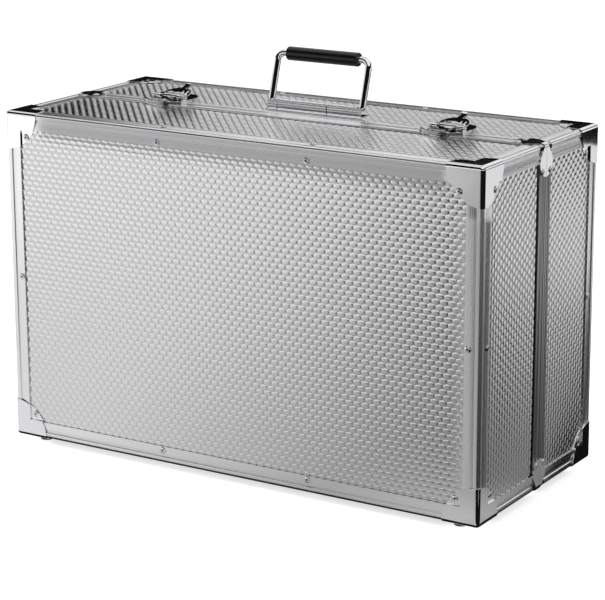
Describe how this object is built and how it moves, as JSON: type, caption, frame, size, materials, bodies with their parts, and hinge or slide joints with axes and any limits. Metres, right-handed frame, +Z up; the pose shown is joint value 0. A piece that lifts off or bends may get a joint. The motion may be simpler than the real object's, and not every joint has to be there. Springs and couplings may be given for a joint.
{
  "type": "hard carrying case",
  "caption": "Upright hard case with embossed silver panels in riveted aluminium edge profiles, capped corners, lever latches, a folding bail handle and a hinged lid.",
  "frame": {"origin": "middle of the case on the surface that it stands on", "axes": "+X along the width, to the right from the front; -Y out of the lid at the front; +Z up"},
  "size_m": [0.5444, 0.2424, 0.4065],
  "materials": {
    "panel": "embossed silver skin on board",
    "profile": "extruded, satin anodised",
    "chrome": "bright chrome on steel",
    "rivet": "bright rivet head",
    "hinge": "bright plated steel",
    "rubber": "moulded black rubber",
    "grip": "black soft PVC",
    "lining": "black felt lining"
  },
  "bodies": {
    "base": {"base_back_panel": "panel", "base_top_panel": "panel", "base_bottom_panel": "panel", "base_left_panel": "panel", "base_right_panel": "panel", "base_top_edge_profile": "profile", "base_top_rim": "profile", "base_bottom_edge_profile": "profile", "base_bottom_rim": "profile", "base_left_edge_profile": "profile", "base_left_rim": "profile", "base_right_edge_profile": "profile", "base_right_rim": "profile", "base_corner_profiles": "profile", "base_corner_caps": "chrome", "base_rim_caps": "chrome", "base_rivets": "rivet", "base_feet": "rubber", "base_liner": "lining", "base_hinge_leaves": "hinge", "hinge_pins": "hinge", "handle_plate": "chrome", "latch_pivot_pins": "chrome", "latch_plate_left": "chrome", "latch_plate_right": "chrome"},
    "lid": {"lid_front_panel": "panel", "lid_top_panel": "panel", "lid_bottom_panel": "panel", "lid_left_panel": "panel", "lid_right_panel": "panel", "lid_top_edge_profile": "profile", "lid_top_rim": "profile", "lid_bottom_edge_profile": "profile", "lid_bottom_rim": "profile", "lid_left_edge_profile": "profile", "lid_left_rim": "profile", "lid_right_edge_profile": "profile", "lid_right_rim": "profile", "lid_corner_profiles": "profile", "lid_corner_caps": "chrome", "lid_rim_caps": "chrome", "lid_rivets": "rivet", "lid_feet": "rubber", "lid_liner": "lining", "lid_hinge_leaves": "hinge", "latch_keeper_left": "chrome", "latch_keeper_right": "chrome"},
    "handle": {"handle_bail": "chrome", "handle_grip": "grip"},
    "latch_lever_left": {"latch_lever_left": "chrome", "latch_hook_pin_left": "chrome"},
    "latch_hook_left": {"latch_hook_left": "chrome"},
    "latch_lever_right": {"latch_lever_right": "chrome", "latch_hook_pin_right": "chrome"},
    "latch_hook_right": {"latch_hook_right": "chrome"}
  },
  "joints": [
    {"name": "lid_hinge", "type": "hinge", "parent": "base", "child": "lid", "pos_m": [0, 0.005, 0.0033], "axis": [1, 0, 0], "range_deg": [0, 175]},
    {"name": "handle_pivot", "type": "hinge", "parent": "base", "child": "handle", "pos_m": [0, 0.036, 0.35025], "axis": [1, 0, 0], "range_deg": [-68, 17]},
    {"name": "latch_lever_left_pivot", "type": "hinge", "parent": "base", "child": "latch_lever_left", "pos_m": [-0.162, 0.012, 0.3504], "axis": [1, 0, 0], "range_deg": [0, 100]},
    {"name": "latch_hook_left_pivot", "type": "hinge", "parent": "latch_lever_left", "child": "latch_hook_left", "pos_m": [-0.162, 0.018, 0.3502], "axis": [1, 0, 0], "range_deg": [-100, 0]},
    {"name": "latch_lever_right_pivot", "type": "hinge", "parent": "base", "child": "latch_lever_right", "pos_m": [0.162, 0.012, 0.3504], "axis": [1, 0, 0], "range_deg": [0, 100]},
    {"name": "latch_hook_right_pivot", "type": "hinge", "parent": "latch_lever_right", "child": "latch_hook_right", "pos_m": [0.162, 0.018, 0.3502], "axis": [1, 0, 0], "range_deg": [-100, 0]}
  ],
  "couplings": [
    {"joint": "latch_hook_left_pivot", "follows": "latch_lever_left_pivot", "ratio": -1},
    {"joint": "latch_hook_right_pivot", "follows": "latch_lever_right_pivot", "ratio": -1}
  ]
}
